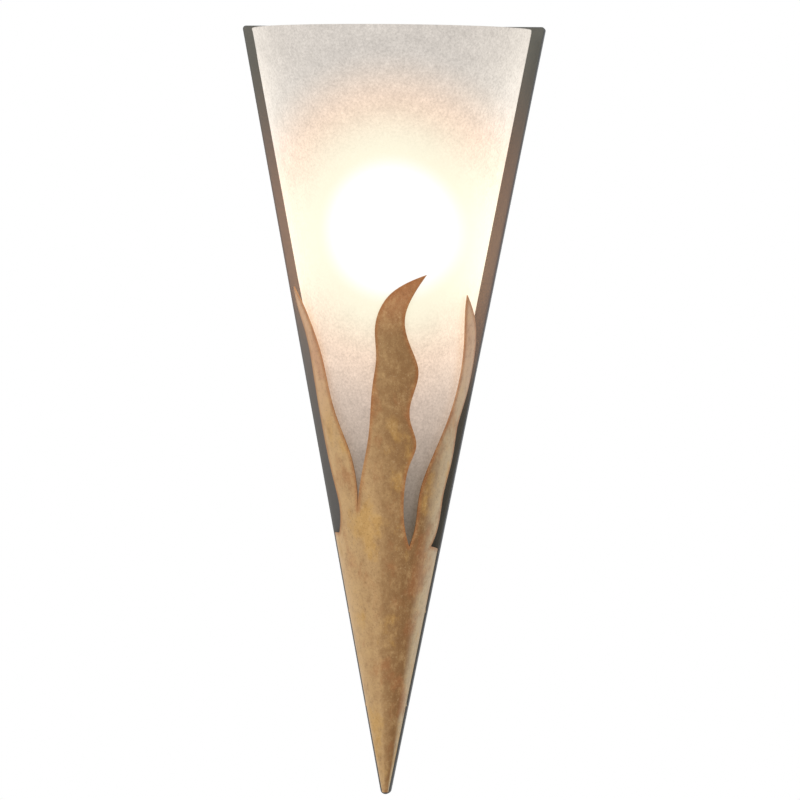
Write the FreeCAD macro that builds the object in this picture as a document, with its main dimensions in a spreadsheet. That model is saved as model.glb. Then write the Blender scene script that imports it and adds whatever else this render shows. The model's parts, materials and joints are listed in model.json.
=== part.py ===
import FreeCAD, Part
import math
import os
import Sketcher
from FreeCAD import Base, Placement, Rotation, Vector

# Torch sconce: a triangular steel plate standing on its point, a frosted glass half-cone in
# front of it, and a gilt half-cone cup below whose upper rim is cut into three flames.
#
# Frame: X to the right, Y towards the wall, Z up. The wall is Y = 0 and the light faces -Y.
# The origin is the middle of the wall bracket. Heights in SIZES are measured from the flank
# point, the point below the plate's rounded tip where its two straight flanks would meet.

SIZES = {
    # back plate, a flat tray with its edge bent back to the wall
    "plate_width": 238.0,
    "flank_height": 617.0,
    "plate_depth": 12.0,
    "plate_sheet": 1.0,
    "tip_radius": 4.0,
    "corner_radius": 2.5,
    "bend_radius": 1.8,
    # wall bracket and the two screws that hold the plate to it
    "mount_height": 527.0,
    "bracket_length": 134.0,
    "bracket_width": 22.0,
    "bracket_sheet": 2.5,
    "wall_slot_spacing": 60.0,
    "wall_slot_width": 5.2,
    "wall_slot_length": 14.0,
    "stud_spacing": 100.0,
    "stud_diameter": 4.0,
    "stud_head_diameter": 7.4,
    "stud_length": 17.5,
    "nut_flats": 7.0,
    "nut_height": 3.2,
    "washer_diameter": 9.0,
    "washer_sheet": 0.8,
    "cap_nut_height": 8.0,
    # gilt cup with its flames
    "cup_sheet": 1.0,
    "cup_margin": 1.2,
    "cup_foot_height": 18.6,
    "cup_point_height": 27.0,
    "left_shoulder_height": 221.0,
    "right_shoulder_height": 209.0,
    "left_slit_height": 239.0,
    "right_slit_height": 210.5,
    "left_flame_height": 412.0,
    "centre_flame_height": 420.5,
    "right_flame_height": 406.0,
    "lower_tab_height": 92.0,
    "upper_tab_height": 165.0,
    "tab_length": 8.5,
    "tab_height": 12.0,
    "tab_screw_diameter": 3.0,
    "tab_screw_length": 7.5,
    "tab_screw_head_diameter": 5.6,
    "tab_screw_head_height": 2.0,
    "tab_nut_flats": 5.5,
    "tab_nut_height": 2.4,
    # glass half-cone, leaning forward onto the centre flame
    "glass_thickness": 4.0,
    "glass_gap": 6.8,
    "glass_foot_height": 197.0,
    "glass_top_drop": 3.0,
    "glass_back_gap": 1.0,
    "glass_lean": 1.4,
    "glass_corner_radius": 5.0,
    "glass_edge_radius": 0.8,
    # shelf that carries the glass, its pads, and the bumper on the centre flame
    "rest_sheet": 1.5,
    "rest_overlap": 2.0,
    "rest_flange_width": 24.0,
    "rest_flange_height": 16.0,
    "rivet_spacing": 14.0,
    "rivet_diameter": 3.2,
    "rivet_head_diameter": 6.0,
    "rivet_head_height": 1.0,
    "pad_diameter": 6.0,
    "pad_thickness": 2.0,
    "pad_angle": 55.0,
    "bumper_diameter": 8.0,
    "bumper_height": 330.0,
    "bumper_angle": 7.5,
    # angle bracket and threaded tube under the lampholder
    "holder_rise": 50.0,
    "holder_depth": 31.5,
    "shelf_sheet": 2.0,
    "shelf_width": 24.0,
    "shelf_reach": 41.0,
    "shelf_drop": 26.0,
    "shelf_screw_spacing": 12.0,
    "tube_diameter": 10.0,
    "tube_bore": 7.0,
    "tube_length": 17.0,
    "tube_stand": 1.0,
    "tube_nut_flats": 14.0,
    "tube_nut_height": 3.0,
    "tube_washer_diameter": 18.0,
    # lampholder
    "holder_diameter": 39.0,
    "holder_length": 52.0,
    "holder_wall": 2.0,
    "holder_cap_length": 16.0,
    "holder_floor": 3.0,
    "holder_lip": 2.5,
    "holder_mouth_diameter": 29.2,
    "insert_bottom": 11.0,
    "insert_thickness": 9.0,
    "socket_bore": 27.0,
    "socket_wall": 0.4,
    "socket_length": 25.0,
    "contact_width": 5.0,
    "contact_sheet": 0.5,
    "contact_reach": 4.0,
    # light bulb
    "bulb_seat": 25.0,
    "bulb_diameter": 60.0,
    "bulb_length": 108.0,
    "bulb_glass": 0.8,
    "bulb_neck_diameter": 24.6,
    "bulb_neck_height": 27.0,
    "bulb_neck_foot": 18.0,
    "bulb_cap_diameter": 26.2,
    "bulb_cap_bottom": 5.0,
    "bulb_cap_top": 25.0,
    "bulb_cap_wall": 0.5,
    "bulb_contact_diameter": 9.6,
    "bulb_contact_height": 1.5,
    "stem_diameter": 7.0,
    "stem_top": 56.0,
    "filament_span": 26.0,
    "filament_height": 76.0,
    "filament_wire": 0.6,
    # terminal block
    "block_drop": 5.0,
    "block_length": 17.0,
    "block_pitch": 10.0,
    "block_base": 5.0,
    "block_depth": 15.0,
    "block_post_width": 8.6,
    "block_ear": 8.0,
    "block_tube_depth": 8.0,
    "block_tube_diameter": 5.0,
    "block_tube_bore": 3.2,
    "block_screw_diameter": 3.0,
    "block_screw_spacing": 8.5,
    "fixing_screw_diameter": 3.0,
    "fixing_screw_head": 5.4,
    # cable hole with its grommet
    "cable_height": 234.0,
    "cable_hole_diameter": 14.0,
    "cable_bore": 9.0,
    "grommet_flange": 18.0,
    "grommet_lip": 1.6,
    # earth terminal and the inner leads
    "earth_height": 300.0,
    "earth_offset": 24.0,
    "earth_screw_diameter": 4.0,
    "earth_screw_length": 8.5,
    "earth_screw_head": 7.6,
    "tag_diameter": 8.0,
    "tag_sheet": 0.8,
    "tag_reach": 6.5,
    "tag_barrel_length": 5.0,
    "tag_barrel_diameter": 3.6,
    "lead_diameter": 2.2,
    "lead_spread": 3.4,
    # clearances
    "thread_clearance": 0.05,
    "hole_clearance": 0.3,
    "seat_clearance": 0.2,
    "slip_clearance": 0.2,
    "sliding_clearance": 0.35,
    "glue_film": 0.2,
}

# Heights that follow from others: the block sits between the cable hole and the earth terminal,
# and the lampholder's bracket above the earth terminal.
FOLLOWING = {
    "block_height": "(cable_height + earth_height) / 2 - block_drop",
    "holder_height": "earth_height + holder_rise",
}

DOC = FreeCAD.newDocument("torch_sconce")
SHEET = DOC.addObject("Spreadsheet::Sheet", "Size")
UPRIGHT = Rotation()
FORWARD = Rotation(Vector(1, 0, 0), 90)
BACKWARD = Rotation(Vector(1, 0, 0), -90)
RIGHTWARD = Rotation(Vector(0, 1, 0), 90)
SUBPARTS = []


def fill_sheet():
    formulas = {name: "=" + rule for name, rule in FOLLOWING.items()}
    for row, (name, content) in enumerate({**SIZES, **formulas}.items(), start=1):
        SHEET.set(f"A{row}", name)
        SHEET.set(f"B{row}", str(content))
        SHEET.setAlias(f"B{row}", name)
    DOC.recompute()


def value(expression):
    """The number that an expression on the sheet gives now."""
    result = SHEET.evalExpression(expression)
    return float(getattr(result, "Value", result))


def bind(thing, **expressions):
    """Ties properties to expressions; a double underscore stands for a dot."""
    for name, expression in expressions.items():
        thing.setExpression(name.replace("__", "."), expression)


def move(thing, x="0", y="0", z="0", turn=UPRIGHT):
    thing.Placement = Placement(Vector(value(x), value(y), value(z)), turn)
    bind(thing, Placement__Base__x=x, Placement__Base__y=y, Placement__Base__z=z)
    return thing


def subpart(thing, label, x="0", y="0", z="0", turn=UPRIGHT):
    """Names a finished piece and places it, with z a height above the flank point."""
    thing.Label = label
    move(thing, x, y, f"({z}) - Size.mount_height", turn)
    SUBPARTS.append(thing)
    return thing


# ---- sketches and features of a body ---------------------------------------------------


def new_body(name):
    return DOC.addObject("PartDesign::Body", name + "_body")


def new_sketch(body, role):
    plane = next(p for p in body.Origin.OriginFeatures if p.Role == role)
    sketch = body.newObject("Sketcher::SketchObject", "sketch")
    sketch.AttachmentSupport = [(plane, "")]
    sketch.MapMode = "FlatFace"
    return sketch


def pin_point(sketch, geometry, end, across, up):
    """Holds one point of the sketch at two expressions, measured from the origin."""
    for kind, expression in (("DistanceX", across), ("DistanceY", up)):
        rule = Sketcher.Constraint(kind, -1, 1, geometry, end, value(expression))
        index = sketch.addConstraint(rule)
        sketch.setExpression(f"Constraints[{index}]", expression)


def polygon(sketch, corners, arcs=None):
    """A closed outline whose corners are pairs of expressions.

    A side is straight unless arcs gives, under the number of its first corner, the centre and
    the radius of an arc of less than half a turn.
    """
    arcs = arcs or {}
    points = [Vector(value(across), value(up), 0) for across, up in corners]
    first = sketch.GeometryCount
    count = len(points)
    ends = []
    for index in range(count):
        begin = points[index]
        end = points[(index + 1) % count]
        if index not in arcs:
            sketch.addGeometry(Part.LineSegment(begin, end))
            ends.append((1, 2))
            continue
        across, up, radius = arcs[index]
        round_side = Part.Circle(Vector(value(across), value(up), 0), Vector(0, 0, 1), value(radius))
        angles = (round_side.parameter(begin), round_side.parameter(end))
        onward = (angles[1] - angles[0]) % (2 * math.pi) < math.pi
        start = angles[0] if onward else angles[1]
        sweep = (angles[1] - angles[0]) % (2 * math.pi)
        sweep = sweep if onward else 2 * math.pi - sweep
        sketch.addGeometry(Part.ArcOfCircle(round_side, start, start + sweep))
        ends.append((1, 2) if onward else (2, 1))
    for index in range(count):
        following = (index + 1) % count
        joint = (first + index, ends[index][1], first + following, ends[following][0])
        sketch.addConstraint(Sketcher.Constraint("Coincident", *joint))
    for index, (across, up) in enumerate(corners):
        pin_point(sketch, first + index, ends[index][0], across, up)
    for index, (across, up, radius) in arcs.items():
        rule = sketch.addConstraint(Sketcher.Constraint("Radius", first + index, value(radius)))
        sketch.setExpression(f"Constraints[{rule}]", radius)


def rectangle(sketch, left, bottom, right, top):
    polygon(sketch, [(left, bottom), (right, bottom), (right, top), (left, top)])


def circle(sketch, across, up, diameter):
    centre = Vector(value(across), value(up), 0)
    index = sketch.addGeometry(Part.Circle(centre, Vector(0, 0, 1), value(diameter) / 2))
    pin_point(sketch, index, 3, across, up)
    rule = sketch.addConstraint(Sketcher.Constraint("Diameter", index, value(diameter)))
    sketch.setExpression(f"Constraints[{rule}]", diameter)


def slot(sketch, across, up, length, width):
    """A slot along the first axis with round ends; length is from end to end."""
    middle = Vector(value(across), value(up), 0)
    radius = value(width) / 2
    reach = Vector(value(length) / 2 - radius, 0, 0)
    side = Vector(0, radius, 0)
    quarter = math.pi / 2
    right = Part.Circle(middle + reach, Vector(0, 0, 1), radius)
    left = Part.Circle(middle - reach, Vector(0, 0, 1), radius)
    first = sketch.GeometryCount
    sketch.addGeometry(Part.ArcOfCircle(right, -quarter, quarter))
    sketch.addGeometry(Part.LineSegment(middle + reach + side, middle - reach + side))
    sketch.addGeometry(Part.ArcOfCircle(left, quarter, 3 * quarter))
    sketch.addGeometry(Part.LineSegment(middle - reach - side, middle + reach - side))
    for index in range(4):
        following = first + (index + 1) % 4
        sketch.addConstraint(Sketcher.Constraint("Tangent", first + index, 2, following, 1))
    half = f"(({length}) - ({width})) / 2"
    pin_point(sketch, first, 3, f"({across}) + {half}", up)
    pin_point(sketch, first + 2, 3, f"({across}) - {half}", up)
    rule = sketch.addConstraint(Sketcher.Constraint("Radius", first, radius))
    sketch.setExpression(f"Constraints[{rule}]", f"({width}) / 2")


def pad(body, sketch, length, backward=False):
    feature = body.newObject("PartDesign::Pad", "pad")
    feature.Profile = sketch
    feature.Reversed = backward
    bind(feature, Length=length)
    DOC.recompute()
    return feature


def pocket_through(body, sketch):
    """Cuts the sketch through the whole body, both ways, and makes sure that it cut."""
    before = body.Shape.Volume
    feature = body.newObject("PartDesign::Pocket", "pocket")
    feature.Profile = sketch
    feature.Type = "ThroughAll"
    feature.Midplane = True
    DOC.recompute()
    if not body.Shape.Volume < before:
        raise RuntimeError(f"a pocket of {body.Name} removed nothing")
    return feature


def revolve(body, sketch, angle=360):
    """Turns a profile drawn in the XZ plane about the body's own Z axis."""
    feature = body.newObject("PartDesign::Revolution", "turn")
    feature.Profile = sketch
    feature.ReferenceAxis = (sketch, ["V_Axis"])
    feature.Angle = angle
    DOC.recompute()
    return feature


def dress(body, kind, names, **expressions):
    """A fillet, chamfer or thickness on named edges or faces of the body's last feature."""
    base = body.Tip
    feature = body.newObject("PartDesign::" + kind, kind.lower())
    feature.Base = (base, names)
    bind(feature, **expressions)
    DOC.recompute()
    return feature


def edges_where(body, test):
    return [f"Edge{i}" for i, edge in enumerate(body.Shape.Edges, start=1) if test(edge)]


def faces_where(body, test):
    return [f"Face{i}" for i, face in enumerate(body.Shape.Faces, start=1) if test(face)]


def turned(name, profile, arcs=None):
    """A body turned from a profile of (radius, height) expressions about its Z axis."""
    body = new_body(name)
    sketch = new_sketch(body, "XZ_Plane")
    polygon(sketch, profile, arcs)
    revolve(body, sketch)
    return body


# ---- primitives and booleans -----------------------------------------------------------


def cylinder(diameter, height, x="0", y="0", z="0", turn=UPRIGHT):
    thing = DOC.addObject("Part::Cylinder", "cylinder")
    bind(thing, Radius=f"({diameter}) / 2", Height=height)
    return move(thing, x, y, z, turn)


def hexagon(flats, height, x="0", y="0", z="0", turn=UPRIGHT):
    thing = DOC.addObject("Part::Prism", "hexagon")
    thing.Polygon = 6
    bind(thing, Circumradius=f"({flats}) / 2 / cos(30)", Height=height)
    return move(thing, x, y, z, turn)


def block(width, depth, height, x="0", y="0", z="0"):
    """A box centred on x that runs back from y and up from z."""
    thing = DOC.addObject("Part::Box", "block")
    bind(thing, Length=width, Width=depth, Height=height)
    return move(thing, f"({x}) - ({width}) / 2", y, z)


def cut(base, tool):
    thing = DOC.addObject("Part::Cut", "cut")
    thing.Base = base
    thing.Tool = tool
    return thing


def fuse(things, refine=True):
    thing = DOC.addObject("Part::MultiFuse", "fuse")
    thing.Shapes = things
    thing.Refine = refine
    return thing


def group(things):
    thing = DOC.addObject("Part::Compound", "group")
    thing.Links = things
    return thing


def ring(diameter, bore, height, x="0", y="0", z="0", turn=UPRIGHT):
    """A washer or bush; the bore runs a little past both faces."""
    outer = cylinder(diameter, height, x, y, z, turn)
    inner = cylinder(bore, height, x, y, z, turn)
    return cut(outer, inner)


def nut(flats, thread, height, x="0", y="0", z="0", turn=UPRIGHT):
    bore = f"({thread}) + 2 * Size.thread_clearance"
    body = hexagon(flats, height, x, y, z, turn)
    return cut(body, cylinder(bore, height, x, y, z, turn))


def screw(thread, length, head, head_height, x="0", y="0", z="0", turn=UPRIGHT):
    """A pan-headed screw; its head stands behind the point and its shank in front."""
    rim = f"({head}) / 2"
    shank = f"({thread}) / 2"
    tall = f"({head_height})"
    profile = [
        ("0", f"-{tall}"),
        (f"{rim} * 0.6", f"-{tall}"),
        (rim, f"-{tall} * 0.4"),
        (rim, "0"),
        (shank, "0"),
        (shank, f"({length}) - {shank} / 3"),
        (f"{shank} * 0.7", length),
        ("0", length),
    ]
    return move(turned("screw", profile), x, y, z, turn)


# ---- values worked out from the sizes --------------------------------------------------

FLANK = "atan(Size.plate_width / 2 / Size.flank_height)"
PLATE_FRONT = "-Size.plate_depth"
PLATE_BACK = "(Size.plate_sheet - Size.plate_depth)"


def half_width(height):
    """Half the plate's width at a height above the flank point."""
    return f"(({height}) * tan({FLANK}))"


def cup_radius(height):
    """Outer radius of the gilt cup, measured level."""
    return f"({half_width(height)} - Size.cup_margin)"


def cup_bore(height):
    """Inner radius of the gilt cup, measured level."""
    return f"({cup_radius(height)} - Size.cup_sheet / cos({FLANK}))"


GLASS_FOOT_RADIUS = f"({cup_bore('Size.glass_foot_height')} - Size.glass_gap)"
GLASS_LENGTH = (
    "((Size.flank_height - Size.glass_top_drop - Size.glass_foot_height)"
    " / cos(Size.glass_lean))"
)
GLASS_WALL = f"(Size.glass_thickness / cos({FLANK}))"
GLASS_Y = f"({PLATE_FRONT} - Size.glass_back_gap)"
HOLDER_Y = f"({PLATE_FRONT} - Size.holder_depth)"
STUD_HOLE = "Size.stud_diameter + 2 * Size.hole_clearance"
TAB_HOLE = "Size.tab_screw_diameter + 2 * Size.hole_clearance"
TAB_HEIGHTS = ("Size.lower_tab_height", "Size.upper_tab_height")
SIDES = ("-1", "1")


def tab_x(side, height):
    """Middle of a fixing tab, which lies on the plate inside the cup's straight edge."""
    return f"{side} * ({cup_bore(height)} - Size.tab_length / 2)"


# ---- the plate and its fixing to the wall ----------------------------------------------


def make_back_plate():
    body = new_body("back_plate")
    outline = new_sketch(body, "XZ_Plane")
    half = "Size.plate_width / 2"
    top = "Size.flank_height"
    polygon(outline, [("0", "0"), (half, top), (f"-{half}", top)])
    pad(body, outline, "Size.plate_depth")
    upright = edges_where(body, lambda e: abs(e.BoundBox.YLength - e.Length) < 0.01)
    tip = [n for n in upright if body.Shape.getElement(n).CenterOfMass.z < 1]
    dress(body, "Fillet", tip, Radius="Size.tip_radius")
    tops = edges_where(
        body,
        lambda e: abs(e.BoundBox.YLength - e.Length) < 0.01
        and e.CenterOfMass.z > value(top) - 1,
    )
    dress(body, "Fillet", tops, Radius="Size.corner_radius")
    depth = value("Size.plate_depth")
    front = edges_where(body, lambda e: abs(e.BoundBox.YMax + depth) < 0.01)
    dress(body, "Fillet", front, Radius="Size.bend_radius")
    back = faces_where(body, lambda f: abs(f.BoundBox.YMin) < 0.01)
    shell = dress(body, "Thickness", back, Value="Size.plate_sheet")
    shell.Reversed = True
    DOC.recompute()
    holes = new_sketch(body, "XZ_Plane")
    for side in SIDES:
        circle(holes, f"{side} * Size.stud_spacing / 2", "Size.mount_height", STUD_HOLE)
        for height in TAB_HEIGHTS:
            circle(holes, tab_x(side, height), height, TAB_HOLE)
        circle(holes, f"{side} * Size.rivet_spacing / 2", REST_RIVET_HEIGHT, RIVET_HOLE)
        circle(holes, f"{side} * Size.shelf_screw_spacing / 2", SHELF_SCREW_HEIGHT, TAB_HOLE)
        circle(holes, f"{side} * {FIXING_X}", BLOCK_MIDDLE, FIXING_HOLE)
    circle(holes, "0", "Size.cable_height", "Size.cable_hole_diameter")
    circle(holes, "Size.earth_offset", "Size.earth_height", EARTH_HOLE)
    pocket_through(body, holes)
    return subpart(body, "back_plate")


def make_wall_bracket():
    body = new_body("wall_bracket")
    outline = new_sketch(body, "XZ_Plane")
    half_length = "Size.bracket_length / 2"
    half_height = "Size.bracket_width / 2"
    rectangle(outline, f"-{half_length}", f"-{half_height}", half_length, half_height)
    pad(body, outline, "Size.bracket_sheet")
    corners = edges_where(body, lambda e: abs(e.BoundBox.YLength - e.Length) < 0.01)
    dress(body, "Fillet", corners, Radius="Size.bracket_width / 5")
    holes = new_sketch(body, "XZ_Plane")
    for side in SIDES:
        slot(
            holes,
            f"{side} * Size.wall_slot_spacing / 2",
            "0",
            "Size.wall_slot_length",
            "Size.wall_slot_width",
        )
        circle(holes, f"{side} * Size.stud_spacing / 2", "0", STUD_HOLE)
    pocket_through(body, holes)
    radius = value(STUD_HOLE) / 2
    rims = edges_where(
        body,
        lambda e: abs(e.BoundBox.YMin) < 0.01
        and abs(e.BoundBox.XLength - 2 * radius) < 0.01
        and abs(e.BoundBox.ZLength - 2 * radius) < 0.01,
    )
    dress(body, "Chamfer", rims, Size=STUD_COUNTERSINK)
    return subpart(body, "wall_bracket", z="Size.mount_height")


STUD_COUNTERSINK = "((Size.stud_head_diameter - Size.stud_diameter) / 2)"
PLATE_WASHER_FRONT = f"({PLATE_FRONT} - Size.washer_sheet)"


def make_bracket_screws():
    """Countersunk from behind, flush with the bracket's back."""
    screws = []
    for side in SIDES:
        head = "Size.stud_head_diameter / 2"
        shank = "Size.stud_diameter / 2"
        one = turned(
            "bracket_screw",
            [
                ("0", "0"),
                (head, "0"),
                (shank, STUD_COUNTERSINK),
                (shank, "Size.stud_length"),
                ("0", "Size.stud_length"),
            ],
        )
        screws.append(move(one, f"{side} * Size.stud_spacing / 2", "0", "0", FORWARD))
    return subpart(group(screws), "bracket_screws", z="Size.mount_height")


def make_bracket_nuts():
    nuts = [
        nut(
            "Size.nut_flats",
            "Size.stud_diameter",
            "Size.nut_height",
            f"{side} * Size.stud_spacing / 2",
            "-Size.bracket_sheet",
            "0",
            FORWARD,
        )
        for side in SIDES
    ]
    return subpart(group(nuts), "bracket_nuts", z="Size.mount_height")


def make_plate_washers():
    washers = [
        ring(
            "Size.washer_diameter",
            STUD_HOLE,
            "Size.washer_sheet",
            f"{side} * Size.stud_spacing / 2",
            PLATE_FRONT,
            "0",
            FORWARD,
        )
        for side in SIDES
    ]
    return subpart(group(washers), "plate_washers", z="Size.mount_height")


def make_cap_nuts():
    """Hexagon with a domed cap; the screw ends inside its blind hole."""
    nuts = []
    for side in SIDES:
        x = f"{side} * Size.stud_spacing / 2"
        y = PLATE_WASHER_FRONT
        dome = "Size.nut_flats * 0.93"
        sphere = DOC.addObject("Part::Sphere", "dome")
        bind(sphere, Radius=f"{dome} / 2")
        move(sphere, x, f"{y} - Size.cap_nut_height + {dome} / 2", "0")
        neck = cylinder(dome, f"Size.cap_nut_height - {dome} / 2", x, y, "0", FORWARD)
        base = hexagon("Size.nut_flats", "Size.nut_height", x, y, "0", FORWARD)
        reach = "Size.stud_length + Size.seat_clearance"
        hole = cylinder("Size.stud_diameter + 2 * Size.thread_clearance", reach, x, "0", "0", FORWARD)
        nuts.append(cut(fuse([base, neck, sphere]), hole))
    return subpart(group(nuts), "cap_nuts", z="Size.mount_height")


# ---- the gilt cup ----------------------------------------------------------------------

# Each flame edge is a smooth line on the rolled sheet. A point is (angle in degrees round the
# cup from its front, positive to the right; share of the way up from the slit or shoulder at
# the flame's foot to its tip).
LEFT_FLAME_OUTER = [(-61, 0), (-54, 0.05), (-55, 0.21), (-60, 0.42), (-60.5, 0.63), (-63, 0.83), (-69, 0.93)]
LEFT_FLAME_TIP = (-70, 1)
LEFT_FLAME_INNER = [(-62, 0.94), (-53.5, 0.83), (-46.5, 0.67), (-44, 0.53), (-39, 0.4), (-29.5, 0.25), (-26, 0.13)]
LEFT_SLIT = -27
CENTRE_FLAME_LEFT = [(-22.5, 0.1), (-12, 0.3), (-7, 0.53), (-4, 0.65), (-4.5, 0.76), (0, 0.87), (12, 0.955)]
CENTRE_FLAME_TIP = (25.5, 1)
CENTRE_FLAME_RIGHT = [
    (18, 0.92),
    (14, 0.84),
    (19, 0.73),
    (25, 0.645),
    (20.5, 0.515),
    (22, 0.455),
    (28, 0.37),
    (24, 0.31),
    (20, 0.19),
    (23, 0.07),
]
RIGHT_SLIT = 30
RIGHT_FLAME_INNER = [(35, 0.07), (36, 0.2), (45, 0.35), (57, 0.5), (63, 0.64), (62, 0.79), (57, 0.93)]
RIGHT_FLAME_TIP = (56, 1)
RIGHT_FLAME_OUTER = [(61, 0.965), (73, 0.87), (81, 0.74), (80, 0.61), (73, 0.49), (75, 0.36), (70, 0.21), (72, 0.1)]
RIGHT_NOTCH = 63

# The sheet is bent in this many narrow strips over the half turn.
STRIPS = 24


def cone_surface(level_inset):
    """The plate's flanks turned into a cone, drawn in by an inset measured level."""
    surface = Part.Cone()
    reference = value("Size.flank_height / 2")
    surface.Center = Vector(0, 0, reference)
    surface.Radius = reference * math.tan(math.radians(value(FLANK))) - level_inset
    surface.SemiAngle = math.radians(value(FLANK))
    return surface


def on_cone(angle, height):
    """A point of the cone's own chart: turned past the back, and along the slope."""
    slope = math.cos(math.radians(value(FLANK)))
    along = (height - value("Size.flank_height / 2")) / slope
    return Base.Vector2d(math.radians(270 + angle), along)


def straight_edge(surface, start, end):
    return Part.Geom2d.Line2dSegment(on_cone(*start), on_cone(*end)).toShape(surface)


def curved_edge(surface, points):
    curve = Part.Geom2d.BSplineCurve2d()
    curve.interpolate([on_cone(*point) for point in points])
    return curve.toShape(surface)


def climb(points, foot, tip):
    """Turns shares of the way from foot to tip into heights."""
    return [(angle, foot + share * (tip - foot)) for angle, share in points]


def flame_rim(surface):
    """The cup's whole upper rim from the left shoulder to the right one."""
    left_shoulder = value("Size.left_shoulder_height")
    right_shoulder = value("Size.right_shoulder_height")
    left_slit = (LEFT_SLIT, value("Size.left_slit_height"))
    right_slit = (RIGHT_SLIT, value("Size.right_slit_height"))
    left_top = value("Size.left_flame_height")
    centre_top = value("Size.centre_flame_height")
    right_top = value("Size.right_flame_height")
    left_tip = (LEFT_FLAME_TIP[0], left_top)
    centre_tip = (CENTRE_FLAME_TIP[0], centre_top)
    right_tip = (RIGHT_FLAME_TIP[0], right_top)
    left_foot = (LEFT_FLAME_OUTER[0][0], left_shoulder)
    notch = (RIGHT_NOTCH, right_shoulder + 2)
    return [
        straight_edge(surface, (-90, left_shoulder), left_foot),
        curved_edge(surface, climb(LEFT_FLAME_OUTER, left_shoulder, left_top) + [left_tip]),
        curved_edge(surface, [left_tip] + climb(LEFT_FLAME_INNER, left_slit[1], left_top) + [left_slit]),
        curved_edge(surface, [left_slit] + climb(CENTRE_FLAME_LEFT, left_slit[1], centre_top) + [centre_tip]),
        curved_edge(
            surface, [centre_tip] + climb(CENTRE_FLAME_RIGHT, right_slit[1], centre_top) + [right_slit]
        ),
        curved_edge(surface, [right_slit] + climb(RIGHT_FLAME_INNER, right_slit[1], right_top) + [right_tip]),
        curved_edge(surface, [right_tip] + climb(RIGHT_FLAME_OUTER, right_shoulder, right_top) + [notch]),
        straight_edge(surface, notch, (90, right_shoulder)),
    ]


def strips(pattern):
    """The pattern parted by straight lines up the cone, the way a press brake bends it."""
    far = value("Size.flank_height")
    near = value("Size.cup_sheet")
    knives = []
    for index in range(1, STRIPS):
        angle = math.radians(180 * index / STRIPS)
        outward = Vector(math.cos(angle), -math.sin(angle), 0)
        foot = [outward * near, outward * far]
        top = [point + Vector(0, 0, far) for point in reversed(foot)]
        knives.append(Part.Face(Part.makePolygon(foot + top + foot[:1])))
    pieces = pattern.generalFuse(knives, 1e-5)[1][0]
    return Part.Shell([face for piece in pieces for face in piece.Faces])


def make_flame_sheet():
    """The bent sheet: the flat pattern laid on the cone, then given its thickness."""
    surface = cone_surface(value("Size.cup_margin"))
    foot = value("Size.cup_foot_height")
    rim = flame_rim(surface)
    rim.append(straight_edge(surface, (90, value("Size.right_shoulder_height")), (90, foot)))
    rim.append(straight_edge(surface, (90, foot), (-90, foot)))
    rim.append(straight_edge(surface, (-90, foot), (-90, value("Size.left_shoulder_height"))))
    pattern = strips(Part.Face(surface, Part.Wire(Part.__sortEdges__(rim))))
    sheet = DOC.addObject("Part::Feature", "flame_sheet")
    sheet.Shape = pattern.makeOffsetShape(-value("Size.cup_sheet"), 0.01, fill=True)
    sheet.Placement = Placement(Vector(0, value(PLATE_FRONT), 0), UPRIGHT)
    return sheet


def make_cup_point():
    """The lowest part of the half-cone is closed solid where the sheet meets itself."""
    point = DOC.addObject("Part::Cone", "cup_point")
    inset = "Size.cup_sheet / 2"
    bottom = "Size.cup_foot_height"
    top = "Size.cup_point_height"
    bind(
        point,
        Radius1=f"{cup_radius(bottom)} - {inset}",
        Radius2=f"{cup_radius(top)} - {inset}",
        Height=f"{top} - {bottom}",
    )
    point.Angle = 180
    return move(point, "0", PLATE_FRONT, bottom, Rotation(Vector(0, 0, 1), 180))


def make_flame_cup():
    pieces = [make_flame_sheet(), make_cup_point()]
    for side in SIDES:
        for height in TAB_HEIGHTS:
            width = f"(Size.tab_length + Size.cup_sheet / 2)"
            x = f"{side} * ({cup_bore(height)} + Size.cup_sheet / 2 - {width} / 2)"
            y = f"{PLATE_FRONT} - Size.cup_sheet"
            z = f"{height} - Size.tab_height / 2"
            tab = block(width, "Size.cup_sheet", "Size.tab_height", x, y, z)
            hole = cylinder(TAB_HOLE, "Size.cup_sheet", tab_x(side, height), PLATE_FRONT, height, FORWARD)
            pieces.append(cut(tab, hole))
    return subpart(fuse(pieces, refine=False), "flame_cup")


def make_cup_screws():
    screws = [
        screw(
            "Size.tab_screw_diameter",
            "Size.tab_screw_length",
            "Size.tab_screw_head_diameter",
            "Size.tab_screw_head_height",
            tab_x(side, height),
            PLATE_BACK,
            height,
            FORWARD,
        )
        for side in SIDES
        for height in TAB_HEIGHTS
    ]
    return subpart(group(screws), "cup_screws")


def make_cup_nuts():
    nuts = [
        nut(
            "Size.tab_nut_flats",
            "Size.tab_screw_diameter",
            "Size.tab_nut_height",
            tab_x(side, height),
            f"{PLATE_FRONT} - Size.cup_sheet",
            height,
            FORWARD,
        )
        for side in SIDES
        for height in TAB_HEIGHTS
    ]
    return subpart(group(nuts), "cup_nuts")


# ---- the glass and what carries it -----------------------------------------------------


def lean(thing):
    """Tips a placed piece forward by the glass's lean."""
    bind(thing, Placement__Rotation__Angle="Size.glass_lean")
    return thing


LEANING = Rotation(Vector(1, 0, 0), SIZES["glass_lean"])


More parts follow.
